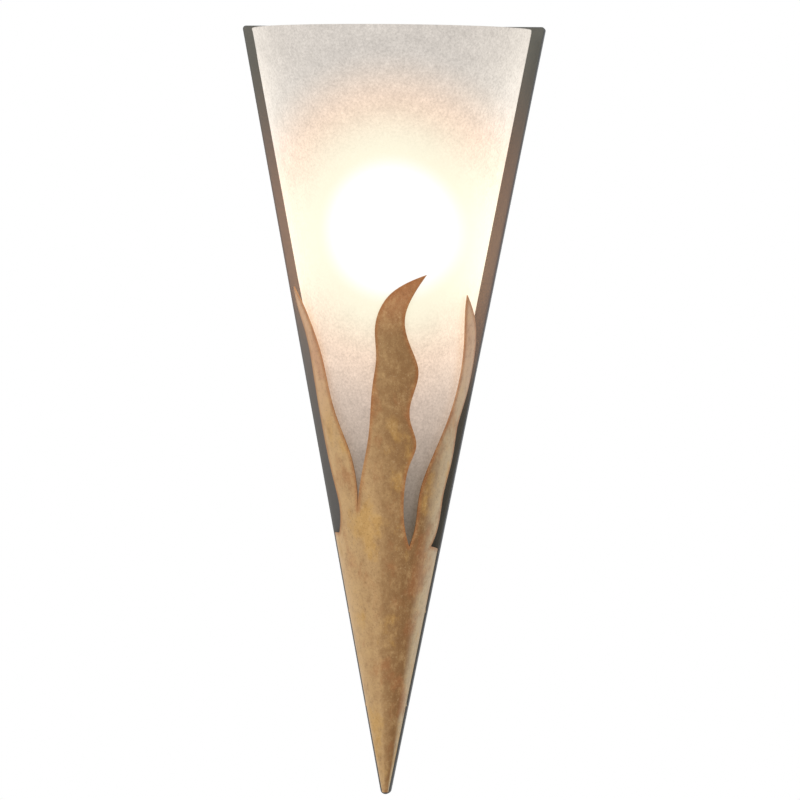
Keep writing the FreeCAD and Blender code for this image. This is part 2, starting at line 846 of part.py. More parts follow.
def make_glass_shade():
    body = new_body("glass_shade")
    profile = new_sketch(body, "XZ_Plane")
    top_radius = f"({GLASS_FOOT_RADIUS} + {GLASS_LENGTH} * tan({FLANK}))"
    polygon(
        profile,
        [
            (f"{GLASS_FOOT_RADIUS} - {GLASS_WALL}", "0"),
            (GLASS_FOOT_RADIUS, "0"),
            (top_radius, GLASS_LENGTH),
            (f"{top_radius} - {GLASS_WALL}", GLASS_LENGTH),
        ],
    )
    half_turn = revolve(body, profile, 180)
    half_turn.Reversed = body.Shape.BoundBox.YMax > 1
    DOC.recompute()
    length = value(GLASS_LENGTH)
    corners = edges_where(
        body,
        lambda e: e.BoundBox.ZMin > length - 0.01 and e.BoundBox.YLength < 0.01,
    )
    dress(body, "Fillet", corners, Radius="Size.glass_corner_radius")
    rims = edges_where(
        body,
        lambda e: e.BoundBox.ZMax > 1 and e.Length > 2 * value("Size.glass_thickness"),
    )
    dress(body, "Fillet", rims, Radius="Size.glass_edge_radius")
    return lean(subpart(body, "glass_shade", "0", GLASS_Y, "Size.glass_foot_height", LEANING))


def make_glass_rest():
    """Half-round shelf with a flange down the plate, tipped to lie square to the glass."""
    shelf = DOC.addObject("Part::Cylinder", "rest_shelf")
    bind(shelf, Radius=f"{GLASS_FOOT_RADIUS} + Size.rest_overlap", Height="Size.rest_sheet")
    shelf.Angle = 180
    shelf_z = "-(Size.pad_thickness + Size.rest_sheet + Size.seat_clearance)"
    move(shelf, "0", "0", shelf_z, Rotation(Vector(0, 0, 1), 180))
    tipped = group([shelf])
    lean(move(tipped, "0", GLASS_Y, "Size.glass_foot_height", LEANING))
    flange_top = f"(Size.glass_foot_height {shelf_z} + Size.rest_sheet * 0.9)"
    flange = block(
        "Size.rest_flange_width",
        "Size.rest_sheet",
        "Size.rest_flange_height",
        "0",
        f"{PLATE_FRONT} - Size.rest_sheet",
        f"{flange_top} - Size.rest_flange_height",
    )
    piece = fuse([tipped, flange])
    for side in SIDES:
        x = f"{side} * Size.rivet_spacing / 2"
        hole = cylinder(RIVET_HOLE, "Size.rest_sheet", x, PLATE_FRONT, REST_RIVET_HEIGHT, FORWARD)
        piece = cut(piece, hole)
    return subpart(piece, "glass_rest")


REST_RIVET_HEIGHT = (
    "(Size.glass_foot_height - Size.pad_thickness - Size.rest_sheet"
    " - Size.seat_clearance - Size.rest_flange_height / 2)"
)
RIVET_HOLE = "Size.rivet_diameter + 2 * Size.thread_clearance"


def make_rest_rivets():
    rivets = []
    for side in SIDES:
        x = f"{side} * Size.rivet_spacing / 2"
        front = f"({PLATE_FRONT} - Size.rest_sheet)"
        shank_length = "Size.plate_sheet + Size.rest_sheet + 2 * Size.rivet_head_height"
        back = f"({PLATE_BACK} + Size.rivet_head_height)"
        shank = cylinder("Size.rivet_diameter", shank_length, x, back, REST_RIVET_HEIGHT, FORWARD)
        heads = [
            cylinder(
                "Size.rivet_head_diameter",
                "Size.rivet_head_height",
                x,
                y,
                REST_RIVET_HEIGHT,
                FORWARD,
            )
            for y in (back, front)
        ]
        rivets.append(fuse([shank] + heads))
    return subpart(group(rivets), "rest_rivets")


def make_rest_pads():
    """Soft discs on the shelf, under the middle of the glass's lower edge."""
    pads = []
    radius = f"({GLASS_FOOT_RADIUS} - {GLASS_WALL} / 2)"
    for angle in ("-Size.pad_angle", "0", "Size.pad_angle"):
        pads.append(
            cylinder(
                "Size.pad_diameter",
                "Size.pad_thickness",
                f"{radius} * sin({angle})",
                f"-{radius} * cos({angle})",
                "-(Size.pad_thickness + Size.seat_clearance)",
            )
        )
    return lean(subpart(group(pads), "rest_pads", "0", GLASS_Y, "Size.glass_foot_height", LEANING))


# How far forward of the cup's own middle the leaning glass has come at the bumper's height.
GLASS_OFFSET = (
    "(Size.glass_back_gap + (Size.bumper_height - Size.glass_foot_height) * tan(Size.glass_lean)"
    f" + {cup_bore('Size.bumper_height')} * sin(Size.glass_lean) * tan({FLANK}))"
)
BUMPER_GAP = f"((Size.glass_gap - {GLASS_OFFSET} * cos(Size.bumper_angle)) * cos({FLANK}))"
BUMPER_DROP = "(Size.bumper_diameter ^ 2 / 8 / " + cup_bore("Size.bumper_height") + ")"


def make_flame_bumper():
    """A soft disc behind the centre flame, square to the cup's wall; the glass leans on it."""
    outward = Rotation(Vector(0, 0, 1), value("Size.bumper_angle"))
    turn = outward.multiply(Rotation(Vector(1, 0, 0), -90 + value(FLANK)))
    thickness = f"{BUMPER_GAP} - {BUMPER_DROP} - Size.glue_film - Size.sliding_clearance"
    inset = f"({BUMPER_DROP} + Size.glue_film) / cos({FLANK})"
    radius = f"({cup_bore('Size.bumper_height')} - {inset})"
    x = f"{radius} * sin(Size.bumper_angle)"
    y = f"{PLATE_FRONT} - {radius} * cos(Size.bumper_angle)"
    disc = cylinder("Size.bumper_diameter", thickness)
    return subpart(disc, "flame_bumper", x, y, "Size.bumper_height", turn)


# ---- lampholder ------------------------------------------------------------------------

SHELF_SCREW_HEIGHT = "(Size.holder_height - Size.shelf_drop / 2 - Size.shelf_sheet)"
TUBE_NUT_TOP = "(Size.holder_height - Size.shelf_sheet)"


def make_holder_bracket():
    """An angle: one leaf on the plate, the other a shelf under the lampholder."""
    body = new_body("holder_bracket")
    side_view = new_sketch(body, "YZ_Plane")
    thickness = "Size.shelf_sheet"
    front = f"-Size.shelf_reach"
    polygon(
        side_view,
        [
            ("0", "0"),
            (front, "0"),
            (front, f"-{thickness}"),
            (f"-{thickness}", f"-{thickness}"),
            (f"-{thickness}", "-Size.shelf_drop"),
            ("0", "-Size.shelf_drop"),
        ],
    )
    leaf = pad(body, side_view, "Size.shelf_width")
    leaf.Midplane = True
    DOC.recompute()
    reach = value("Size.shelf_reach")
    front_corners = edges_where(
        body,
        lambda e: abs(e.BoundBox.ZLength - e.Length) < 0.01 and e.CenterOfMass.y < 0.01 - reach,
    )
    dress(body, "Fillet", front_corners, Radius="Size.shelf_width / 4")
    bends = edges_where(
        body,
        lambda e: abs(e.BoundBox.XLength - value("Size.shelf_width")) < 0.01
        and abs(e.CenterOfMass.y) < 0.01
        and abs(e.CenterOfMass.z) < 0.01,
    )
    dress(body, "Fillet", bends, Radius="Size.shelf_sheet")
    from_above = new_sketch(body, "XY_Plane")
    circle(from_above, "0", "-Size.holder_depth", "Size.tube_diameter + 2 * Size.hole_clearance")
    pocket_through(body, from_above)
    from_front = new_sketch(body, "XZ_Plane")
    for side in SIDES:
        height = "-(Size.shelf_drop / 2 + Size.shelf_sheet)"
        circle(from_front, f"{side} * Size.shelf_screw_spacing / 2", height, TAB_HOLE)
    pocket_through(body, from_front)
    return subpart(body, "holder_bracket", "0", PLATE_FRONT, "Size.holder_height")


def make_bracket_fixings():
    """Two screws from behind the plate, with nuts on the angle's upright leaf."""
    screws = []
    nuts = []
    for side in SIDES:
        x = f"{side} * Size.shelf_screw_spacing / 2"
        screws.append(
            screw(
                "Size.tab_screw_diameter",
                "Size.tab_screw_length",
                "Size.tab_screw_head_diameter",
                "Size.tab_screw_head_height",
                x,
                PLATE_BACK,
                SHELF_SCREW_HEIGHT,
                FORWARD,
            )
        )
        nuts.append(
            nut(
                "Size.tab_nut_flats",
                "Size.tab_screw_diameter",
                "Size.tab_nut_height",
                x,
                f"{PLATE_FRONT} - Size.shelf_sheet",
                SHELF_SCREW_HEIGHT,
                FORWARD,
            )
        )
    subpart(group(screws), "holder_bracket_screws")
    subpart(group(nuts), "holder_bracket_nuts")


TUBE_FOOT = "(Size.holder_height + Size.holder_floor + Size.tube_stand - Size.tube_length)"


def make_threaded_tube():
    tube = ring("Size.tube_diameter", "Size.tube_bore", "Size.tube_length")
    subpart(tube, "threaded_tube", "0", HOLDER_Y, TUBE_FOOT)
    washer_hole = "Size.tube_diameter + 2 * Size.hole_clearance"
    washer = ring("Size.tube_washer_diameter", washer_hole, "Size.washer_sheet")
    washer_z = f"{TUBE_NUT_TOP} - Size.washer_sheet"
    subpart(washer, "tube_washer", "0", HOLDER_Y, washer_z)
    piece = nut("Size.tube_nut_flats", "Size.tube_diameter", "Size.tube_nut_height")
    subpart(piece, "tube_nut", "0", HOLDER_Y, f"{washer_z} - Size.tube_nut_height")


CAP_BORE = "Size.tube_diameter + 2 * Size.thread_clearance"
HOLDER_INNER = "(Size.holder_diameter / 2 - Size.holder_wall)"


def make_lampholder_cap():
    outer = "Size.holder_diameter / 2"
    step = "Size.holder_floor"
    profile = [
        (f"({CAP_BORE}) / 2", "0"),
        (f"{outer} - {step}", "0"),
        (outer, step),
        (outer, "Size.holder_cap_length"),
        (HOLDER_INNER, "Size.holder_cap_length"),
        (HOLDER_INNER, f"{step} * 1.6"),
        (f"{HOLDER_INNER} - {step}", step),
        (f"({CAP_BORE}) / 2", step),
    ]
    piece = turned("lampholder_cap", profile)
    subpart(piece, "lampholder_cap", "0", HOLDER_Y, "Size.holder_height")


def make_lampholder_skirt():
    outer = "Size.holder_diameter / 2"
    mouth = "Size.holder_mouth_diameter / 2"
    top = "Size.holder_length"
    profile = [
        (HOLDER_INNER, "Size.holder_cap_length"),
        (outer, "Size.holder_cap_length"),
        (outer, f"{top} - Size.holder_lip / 2"),
        (f"{outer} - Size.holder_lip / 2", top),
        (mouth, top),
        (mouth, f"{top} - Size.holder_lip"),
        (HOLDER_INNER, f"{top} - Size.holder_lip"),
    ]
    piece = turned("lampholder_skirt", profile)
    subpart(piece, "lampholder_skirt", "0", HOLDER_Y, "Size.holder_height")


INSERT_TOP = "(Size.insert_bottom + Size.insert_thickness)"


def make_lampholder_insert():
    """Porcelain disc with two holes through which the leads come up."""
    diameter = f"2 * ({HOLDER_INNER} - Size.slip_clearance)"
    disc = cylinder(diameter, "Size.insert_thickness", "0", "0", "Size.insert_bottom")
    for side in SIDES:
        hole = cylinder(
            "Size.lead_diameter + 2 * Size.hole_clearance",
            "Size.insert_thickness / 2",
            f"{side} * Size.lead_spread / 2",
            "0",
            "Size.insert_bottom",
        )
        disc = cut(disc, hole)
    subpart(disc, "lampholder_insert", "0", HOLDER_Y, "Size.holder_height")


def make_screw_socket():
    inner = "Size.socket_bore / 2"
    outer = f"({inner} + Size.socket_wall)"
    top = f"({INSERT_TOP} + Size.socket_length)"
    profile = [
        (f"{inner} / 2", INSERT_TOP),
        (outer, INSERT_TOP),
        (outer, top),
        (inner, top),
        (inner, f"{INSERT_TOP} + Size.socket_wall"),
        (f"{inner} / 2", f"{INSERT_TOP} + Size.socket_wall"),
    ]
    piece = turned("screw_socket", profile)
    subpart(piece, "screw_socket", "0", HOLDER_Y, "Size.holder_height")


def make_centre_contact():
    """A bent brass tongue that reaches up to the bulb's end."""
    body = new_body("centre_contact")
    side_view = new_sketch(body, "YZ_Plane")
    sheet = "Size.contact_sheet"
    reach = "Size.contact_reach"
    bottom = INSERT_TOP
    top = f"(Size.bulb_seat - Size.seat_clearance)"
    polygon(
        side_view,
        [
            (f"-{reach}", bottom),
            (reach, bottom),
            (reach, f"{bottom} + {sheet}"),
            (f"{sheet} - {reach}", f"{bottom} + {sheet}"),
            (f"{sheet} - {reach} / 2", f"{top} - {sheet}"),
            (f"{reach} / 2", f"{top} - {sheet}"),
            (f"{reach} / 2", top),
            (f"-{reach} / 2", top),
        ],
    )
    tongue = pad(body, side_view, "Size.contact_width")
    tongue.Midplane = True
    DOC.recompute()
    subpart(body, "centre_contact", "0", HOLDER_Y, "Size.holder_height")


# ---- light bulb ------------------------------------------------------------------------

BULB_FOOT = "(Size.holder_height + Size.bulb_seat)"


def make_bulb_envelope():
    """Straight neck, straight shoulder and a globe that the shoulder runs into smoothly."""
    globe = "(Size.bulb_diameter / 2)"
    centre = f"(Size.bulb_length - {globe})"
    rise = f"({centre} - Size.bulb_neck_height)"
    neck = "(Size.bulb_neck_diameter / 2)"
    glass = "Size.bulb_glass"
    flare = f"(asin({globe} / sqrt({rise} ^ 2 + {neck} ^ 2)) - atan({neck} / {rise}))"
    inner = f"({globe} - {glass})"
    profile = [
        (neck, "Size.bulb_neck_foot"),
        (neck, "Size.bulb_neck_height"),
        (f"{globe} * cos({flare})", f"{centre} - {globe} * sin({flare})"),
        ("0", "Size.bulb_length"),
        ("0", f"Size.bulb_length - {glass}"),
        (f"{inner} * cos({flare})", f"{centre} - {inner} * sin({flare})"),
        (f"{neck} - {glass}", f"Size.bulb_neck_height + {glass} * tan({flare} / 2)"),
        (f"{neck} - {glass}", "Size.bulb_neck_foot"),
    ]
    arcs = {2: ("0", centre, globe), 4: ("0", centre, inner)}
    piece = turned("bulb_envelope", profile, arcs)
    subpart(piece, "bulb_envelope", "0", HOLDER_Y, BULB_FOOT)


def make_bulb_cap():
    """Thin metal sleeve round the neck, drawn in at its lower end."""
    radius = "Size.bulb_cap_diameter / 2"
    wall = "Size.bulb_cap_wall"
    bottom = "Size.bulb_cap_bottom"
    top = "Size.bulb_cap_top"
    taper = "Size.bulb_cap_wall * 4"
    profile = [
        (f"{radius} - {taper}", bottom),
        (radius, f"{bottom} + {taper}"),
        (radius, top),
        (f"{radius} - {wall}", top),
        (f"{radius} - {wall}", f"{bottom} + {taper} + {wall} / 2"),
        (f"{radius} - {taper} - {wall}", f"{bottom} + {wall} / 2"),
        (f"{radius} - {taper} - {wall}", bottom),
    ]
    subpart(turned("bulb_cap", profile), "bulb_cap", "0", HOLDER_Y, BULB_FOOT)


def make_bulb_insulator():
    inner = "Size.bulb_contact_diameter / 2"
    cap_foot = "(Size.bulb_cap_diameter / 2 - Size.bulb_cap_wall * 5)"
    contact_top = "Size.bulb_contact_height"
    bottom = "Size.bulb_cap_bottom"
    profile = [
        ("0", contact_top),
        (f"{inner} + 1", contact_top),
        (f"{cap_foot} - Size.thread_clearance", bottom),
        (f"{cap_foot} - Size.thread_clearance", f"{bottom} + 2"),
        ("0", f"{bottom} + 2"),
    ]
    subpart(turned("bulb_insulator", profile), "bulb_insulator", "0", HOLDER_Y, BULB_FOOT)


def make_bulb_contact():
    radius = "Size.bulb_contact_diameter / 2"
    rise = "Size.bulb_contact_height"
    profile = [("0", "0"), (f"{radius} - {rise} / 2", "0"), (radius, f"{rise} / 2"), (radius, rise), ("0", rise)]
    subpart(turned("bulb_contact", profile), "bulb_contact", "0", HOLDER_Y, BULB_FOOT)


def make_bulb_stem():
    """The glass mount, flared where it is sealed into the neck."""
    neck = "(Size.bulb_neck_diameter / 2 - Size.bulb_glass - Size.thread_clearance)"
    stem = "Size.stem_diameter / 2"
    profile = [
        ("0", "Size.bulb_neck_foot"),
        (neck, "Size.bulb_neck_foot"),
        (neck, "Size.bulb_neck_foot + 1"),
        (stem, f"Size.bulb_neck_foot + {neck}"),
        (f"{stem} * 0.8", "Size.stem_top"),
        ("0", "Size.stem_top"),
    ]
    subpart(turned("bulb_stem", profile), "bulb_stem", "0", HOLDER_Y, BULB_FOOT)


def rounded_path(points):
    """Straight runs between the points, joined by tangent arcs as large as both runs allow."""
    edges = []
    cursor = points[0]
    for before, corner, after in zip(points, points[1:], points[2:]):
        incoming = corner - before
        outgoing = after - corner
        setback = 0.45 * min(incoming.Length, outgoing.Length)
        start = corner - incoming * (setback / incoming.Length)
        end = corner + outgoing * (setback / outgoing.Length)
        half_turn = incoming.getAngle(outgoing) / 2
        radius = setback / math.tan(half_turn)
        inward = outgoing.normalize() - incoming.normalize()
        hub = corner + inward.normalize() * (radius / math.cos(half_turn))
        middle = hub + (corner - hub).normalize() * radius
        edges.append(Part.LineSegment(cursor, start).toShape())
        edges.append(Part.Arc(start, middle, end).toShape())
        cursor = end
    edges.append(Part.LineSegment(cursor, points[-1]).toShape())
    return Part.Wire(edges)


def make_wire(label, points, diameter, x, y, z):
    """A round wire along a rounded path; the points are in the piece's own frame."""
    path = rounded_path(points)
    heading = points[1] - points[0]
    section = Part.Wire(Part.Circle(points[0], heading, value(diameter) / 2).toShape())
    wire = DOC.addObject("Part::Feature", label)
    wire.Shape = path.makePipeShell([section], True, False)
    expected = path.Length * math.pi * value(diameter) ** 2 / 4
    if abs(wire.Shape.Volume - expected) > 0.02 * expected:
        raise RuntimeError(f"the wire {label} has the wrong volume")
    return subpart(wire, label, x, y, z)


def make_filament():
    """Two support wires from the stem and the bright wire strung between them."""
    foot = value("Size.stem_top")
    top = value("Size.filament_height")
    half = value("Size.filament_span / 2")
    spread = value("Size.stem_diameter / 4")
    points = [
        Vector(-spread, 0, foot),
        Vector(-spread, 0, foot + half / 3),
        Vector(-half, 0, top),
        Vector(0, 0, top + half / 4),
        Vector(half, 0, top),
        Vector(spread, 0, foot + half / 3),
        Vector(spread, 0, foot),
    ]
    make_wire("bulb_filament", points, "Size.filament_wire", "0", HOLDER_Y, BULB_FOOT)


# ---- terminal block, cable hole and earth ----------------------------------------------

BLOCK_MIDDLE = "(Size.block_height + Size.block_length / 2)"
FIXING_HOLE = "Size.fixing_screw_diameter + 2 * Size.thread_clearance"
FIXING_X = "(Size.block_pitch + Size.block_post_width / 2 + Size.block_ear / 2)"
POLES = ("-1", "0", "1")
TUBE_Y = f"({PLATE_FRONT} - Size.block_tube_depth)"


def pole_screws():
    """Middle of each of the two screws of each pole, as (x, z) expressions."""
    rise = "Size.block_screw_spacing / 2"
    return [
        (f"{pole} * Size.block_pitch", f"({BLOCK_MIDDLE} + {level} * {rise})")
        for pole in POLES
        for level in SIDES
    ]


def make_terminal_block():
    """A moulded base with three posts, each with a way through for its brass tube."""
    z = "Size.block_height"
    length = "Size.block_length"
    width = f"2 * {FIXING_X} + Size.block_ear"
    base = block(width, "Size.block_base", length, "0", f"{PLATE_FRONT} - Size.block_base", z)
    solids = [base]
    holes = []
    for pole in POLES:
        x = f"{pole} * Size.block_pitch"
        front = f"{PLATE_FRONT} - Size.block_depth"
        solids.append(block("Size.block_post_width", "Size.block_depth", length, x, front, z))
        bore = "Size.block_tube_diameter + 2 * Size.thread_clearance"
        holes.append(cylinder(bore, length, x, TUBE_Y, z))
    for x, height in pole_screws():
        shaft = "Size.block_screw_diameter + 2 * Size.hole_clearance"
        depth = "Size.block_depth - Size.block_tube_depth"
        holes.append(cylinder(shaft, depth, x, TUBE_Y, height, FORWARD))
    for side in SIDES:
        x = f"{side} * {FIXING_X}"
        holes.append(cylinder(FIXING_HOLE, "Size.block_base", x, PLATE_FRONT, BLOCK_MIDDLE, FORWARD))
    return subpart(cut(fuse(solids), fuse(holes)), "terminal_block")


def make_terminal_tubes():
    """Brass tubes, each tapped crosswise for its two screws."""
    tubes = []
    for pole in POLES:
        x = f"{pole} * Size.block_pitch"
        z = "Size.block_height + 1"
        length = "Size.block_length - 2"
        tube = ring("Size.block_tube_diameter", "Size.block_tube_bore", length, x, TUBE_Y, z)
        thread = "Size.block_screw_diameter + 2 * Size.thread_clearance"
        taps = [
            cylinder(thread, "Size.block_tube_diameter / 2", tap_x, TUBE_Y, height, FORWARD)
            for tap_x, height in pole_screws()
            if tap_x == x
        ]
        tubes.append(cut(tube, fuse(taps)))
    return subpart(group(tubes), "terminal_tubes")


def make_terminal_screws():
    """Headless screws that press on the bare end of a lead in the tube."""
    start = f"{TUBE_Y} - Size.lead_diameter / 2 - Size.thread_clearance"
    length = "Size.block_depth - Size.block_tube_depth - Size.lead_diameter / 2 - 1"
    screws = [
        cylinder("Size.block_screw_diameter", length, x, start, height, FORWARD)
        for x, height in pole_screws()
    ]
    return subpart(group(screws), "terminal_screws")


def make_terminal_fixings():
    screws = [
        screw(
            "Size.fixing_screw_diameter",
            "Size.block_base + Size.plate_sheet + 3",
            "Size.fixing_screw_head",
            "Size.tab_screw_head_height",
            f"{side} * {FIXING_X}",
            f"{PLATE_FRONT} - Size.block_base",
            BLOCK_MIDDLE,
            BACKWARD,
        )
        for side in SIDES
    ]
    return subpart(group(screws), "terminal_fixings")


def make_grommet():
    """Rubber ring in the cable hole, with a lip on each side of the sheet."""
    bore = "Size.cable_bore / 2"
    neck = "(Size.cable_hole_diameter / 2 - Size.thread_clearance)"
    flange = "Size.grommet_flange / 2"
    lip = "Size.grommet_lip"
    far = f"({lip} + Size.plate_sheet)"
    profile = [
        (bore, "0"),
        (f"{flange} - {lip} / 2", "0"),
        (flange, lip),
        (neck, lip),
        (neck, far),
        (flange, far),
        (f"{flange} - {lip} / 2", f"{far} + {lip}"),
        (bore, f"{far} + {lip}"),
    ]
    piece = turned("cable_grommet", profile)
    subpart(piece, "cable_grommet", "0", f"{PLATE_BACK} + {lip}", "Size.cable_height", FORWARD)


EARTH_HOLE = "Size.earth_screw_diameter + 2 * Size.hole_clearance"


def make_earth_terminal():
    """Screw from behind, washer, ring tag for the earth lead, and nut."""
    x = "Size.earth_offset"
    z = "Size.earth_height"
    thread = "Size.earth_screw_diameter"
    sheet = "Size.tag_sheet"
    tag_y = f"({PLATE_FRONT} - {sheet})"
    head = ("Size.earth_screw_head", "Size.tab_screw_head_height")
    piece = screw(thread, "Size.earth_screw_length", *head)
    subpart(piece, "earth_screw", x, PLATE_BACK, z, FORWARD)
    washer = ring("Size.washer_diameter", EARTH_HOLE, sheet, x, PLATE_FRONT, z, FORWARD)
    subpart(washer, "earth_washer")
    eye = ring("Size.tag_diameter", EARTH_HOLE, sheet, x, tag_y, z, FORWARD)
    barrel = "Size.tag_barrel_diameter"
    neck_width = "(Size.tag_reach - Size.tag_diameter / 2 + 2)"
    neck = block(
        neck_width,
        sheet,
        f"{barrel} * 0.8",
        f"{x} - Size.tag_reach - 1 + {neck_width} / 2",
        f"{tag_y} - {sheet}",
        f"{z} - {barrel} * 0.4",
    )
    length = "Size.tag_barrel_length"
    tube = cylinder(barrel, length, TAG_X, TAG_Y, z, RIGHTWARD)
    subpart(fuse([eye, neck, tube]), "earth_tag")
    nut_y = f"{tag_y} - {sheet}"
    piece = nut("Size.nut_flats", thread, "Size.nut_height", x, nut_y, z, FORWARD)
    subpart(piece, "earth_nut")


TAG_X = "(Size.earth_offset - Size.tag_reach - Size.tag_barrel_length)"
TAG_Y = f"({PLATE_FRONT} - 1.25 * Size.tag_sheet - Size.tag_barrel_diameter / 2)"


def make_leads():
    """Live and neutral climb into the threaded tube; earth turns to its tag on the plate."""
    foot_z = value("Size.block_height + Size.block_length")
    foot_y = value(TUBE_Y)
    start_z = value("Size.block_height + 0.6 * Size.block_length")
    pitch = value("Size.block_pitch")
    top_z = value("Size.holder_height + Size.insert_bottom + Size.insert_thickness / 4")
    climb_to_tube = value(TUBE_FOOT) - foot_z
    tube_y = value(HOLDER_Y)
    spread = value("Size.lead_spread / 2")
    for label, side in (("live_lead", -1), ("neutral_lead", 1)):
        points = [
            Vector(side * pitch, foot_y, start_z),
            Vector(side * pitch, foot_y, foot_z + 0.2 * climb_to_tube),
            Vector(side * pitch * 0.7, foot_y - 0.35 * (foot_y - tube_y), foot_z + 0.45 * climb_to_tube),
            Vector(side * spread, tube_y, foot_z + 0.75 * climb_to_tube),
            Vector(side * spread, tube_y, top_z),
        ]
        make_wire(label, points, "Size.lead_diameter", "0", "0", "0")
    end = Vector(value(TAG_X), value(TAG_Y), value("Size.earth_height"))
    climb_to_tag = end.z - foot_z
    points = [
        Vector(0, foot_y, start_z),
        Vector(0, foot_y, foot_z + 0.4 * climb_to_tag),
        Vector(end.x * 0.35, (foot_y + end.y) / 2, foot_z + 0.85 * climb_to_tag),
        Vector(end.x * 0.7, end.y, end.z),
        end,
    ]
    make_wire("earth_lead", points, "Size.lead_diameter", "0", "0", "0")


def check_and_write():
    DOC.recompute()
    for thing in DOC.Objects:
        if "Invalid" in thing.State or "Error" in thing.State:
            raise RuntimeError(f"{thing.Label} failed: {thing.State}")
    for piece in SUBPARTS:
        if piece.Shape.isNull() or not piece.Shape.isValid():
            raise RuntimeError(f"{piece.Label} has no valid shape")
    os.makedirs("parts", exist_ok=True)
    for piece in SUBPARTS:
        piece.Shape.exportStep(f"parts/{piece.Label}.step")
        print(f"{piece.Label}: {len(piece.Shape.Solids)} solid(s), {piece.Shape.Volume:.0f} mm3")


def main():
    fill_sheet()
    make_back_plate()
    make_wall_bracket()
    make_bracket_screws()
    make_bracket_nuts()
    make_plate_washers()
    make_cap_nuts()
    make_flame_cup()
    make_cup_screws()
    make_cup_nuts()
    make_glass_shade()
    make_glass_rest()
    make_rest_rivets()
    make_rest_pads()
    make_flame_bumper()
    make_holder_bracket()
    make_bracket_fixings()
    make_threaded_tube()
    make_lampholder_cap()
    make_lampholder_skirt()
    make_lampholder_insert()
    make_screw_socket()
    make_centre_contact()
    make_bulb_envelope()
    make_bulb_cap()
    make_bulb_insulator()
    make_bulb_contact()
    make_bulb_stem()
    make_filament()
    make_terminal_block()
    make_terminal_tubes()
    make_terminal_screws()
    make_terminal_fixings()
    make_grommet()
    make_earth_terminal()
    make_leads()
    check_and_write()


main()
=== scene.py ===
import json
import math

import bpy
from mathutils import Matrix, Vector
from mathutils.geometry import delaunay_2d_cdt
from mathutils.kdtree import KDTree


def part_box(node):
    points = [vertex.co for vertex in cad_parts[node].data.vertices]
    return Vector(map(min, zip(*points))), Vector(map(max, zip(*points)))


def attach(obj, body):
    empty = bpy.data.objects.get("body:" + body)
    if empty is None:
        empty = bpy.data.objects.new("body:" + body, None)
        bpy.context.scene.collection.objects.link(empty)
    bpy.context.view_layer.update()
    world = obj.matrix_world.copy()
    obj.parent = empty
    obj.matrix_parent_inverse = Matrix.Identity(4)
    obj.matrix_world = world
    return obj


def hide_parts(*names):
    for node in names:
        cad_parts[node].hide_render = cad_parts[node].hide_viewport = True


# Torch sconce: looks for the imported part. Metres, in the part's own frame: the wall is Y = 0,
# the light faces -Y, and heights run from the middle of the wall bracket.

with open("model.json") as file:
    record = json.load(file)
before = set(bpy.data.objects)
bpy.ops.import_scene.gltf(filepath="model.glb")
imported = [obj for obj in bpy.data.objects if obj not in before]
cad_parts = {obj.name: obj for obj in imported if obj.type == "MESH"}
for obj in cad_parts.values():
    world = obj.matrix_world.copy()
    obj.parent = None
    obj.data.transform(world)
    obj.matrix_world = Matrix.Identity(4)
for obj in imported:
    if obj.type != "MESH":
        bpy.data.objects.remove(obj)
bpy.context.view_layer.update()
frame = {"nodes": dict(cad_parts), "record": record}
nodes = frame["nodes"]

# ---- places read from the frame --------------------------------------------------------

PLATE_LOW, PLATE_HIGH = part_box("back_plate")
PLATE_FRONT = PLATE_LOW.y
BULB_LOW, BULB_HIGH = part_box("bulb_envelope")
GLOBE_RADIUS = (BULB_HIGH.x - BULB_LOW.x) / 2
GLOW = Vector((0, (BULB_LOW.y + BULB_HIGH.y) / 2, BULB_HIGH.z - GLOBE_RADIUS))

# The plate's straight flanks, as half width against height above their meeting point.
FLANK_HALF_WIDTH = 0.119
FLANK_HEIGHT = 0.617
FLANK_SLOPE = FLANK_HALF_WIDTH / FLANK_HEIGHT
FLANK_POINT = PLATE_HIGH.z - FLANK_HEIGHT

# ---- camera ----------------------------------------------------------------------------

DISTANCE = 6.0
YAW = math.radians(5.0)
PITCH = math.radians(-0.7)
ROLL = math.radians(0.61)
PICTURE_SPAN = 0.6247
AIM = Vector((0.0083, PLATE_FRONT, -0.2021))


def add_camera():
    data = bpy.data.cameras.new("camera")
    data.sensor_width = 36
    data.lens = data.sensor_width * DISTANCE / PICTURE_SPAN
    data.clip_end = 50
    camera = bpy.data.objects.new("camera", data)
    bpy.context.scene.collection.objects.link(camera)
    level = Vector((math.cos(YAW), math.sin(YAW), 0))
    flat_back = Vector((math.sin(YAW), -math.cos(YAW), 0))
    back = flat_back * math.cos(PITCH) + Vector((0, 0, math.sin(PITCH)))
    upright = back.cross(level)
    right = level * math.cos(ROLL) + upright * math.sin(ROLL)
    up = upright * math.cos(ROLL) - level * math.sin(ROLL)
    turn = Matrix((right, up, back)).transposed().to_4x4()
    camera.matrix_world = Matrix.Translation(AIM + back * DISTANCE) @ turn
    bpy.context.scene.camera = camera


# ---- light and surroundings ------------------------------------------------------------


WORLD_LIGHT = 0.72
LAMP_TARGET = Vector((0, 0, -0.2))
FLOOR_DROP = 1.0
FLOOR_REACH = 6.0


def add_lamp(name, place, size, power):
    data = bpy.data.lights.new(name, "AREA")
    data.shape = "DISK"
    data.size = size
    data.energy = power
    lamp = bpy.data.objects.new(name, data)
    bpy.context.scene.collection.objects.link(lamp)
    lamp.location = place
    lamp.rotation_euler = (LAMP_TARGET - Vector(place)).to_track_quat("-Z", "Y").to_euler()
    lamp.visible_camera = False


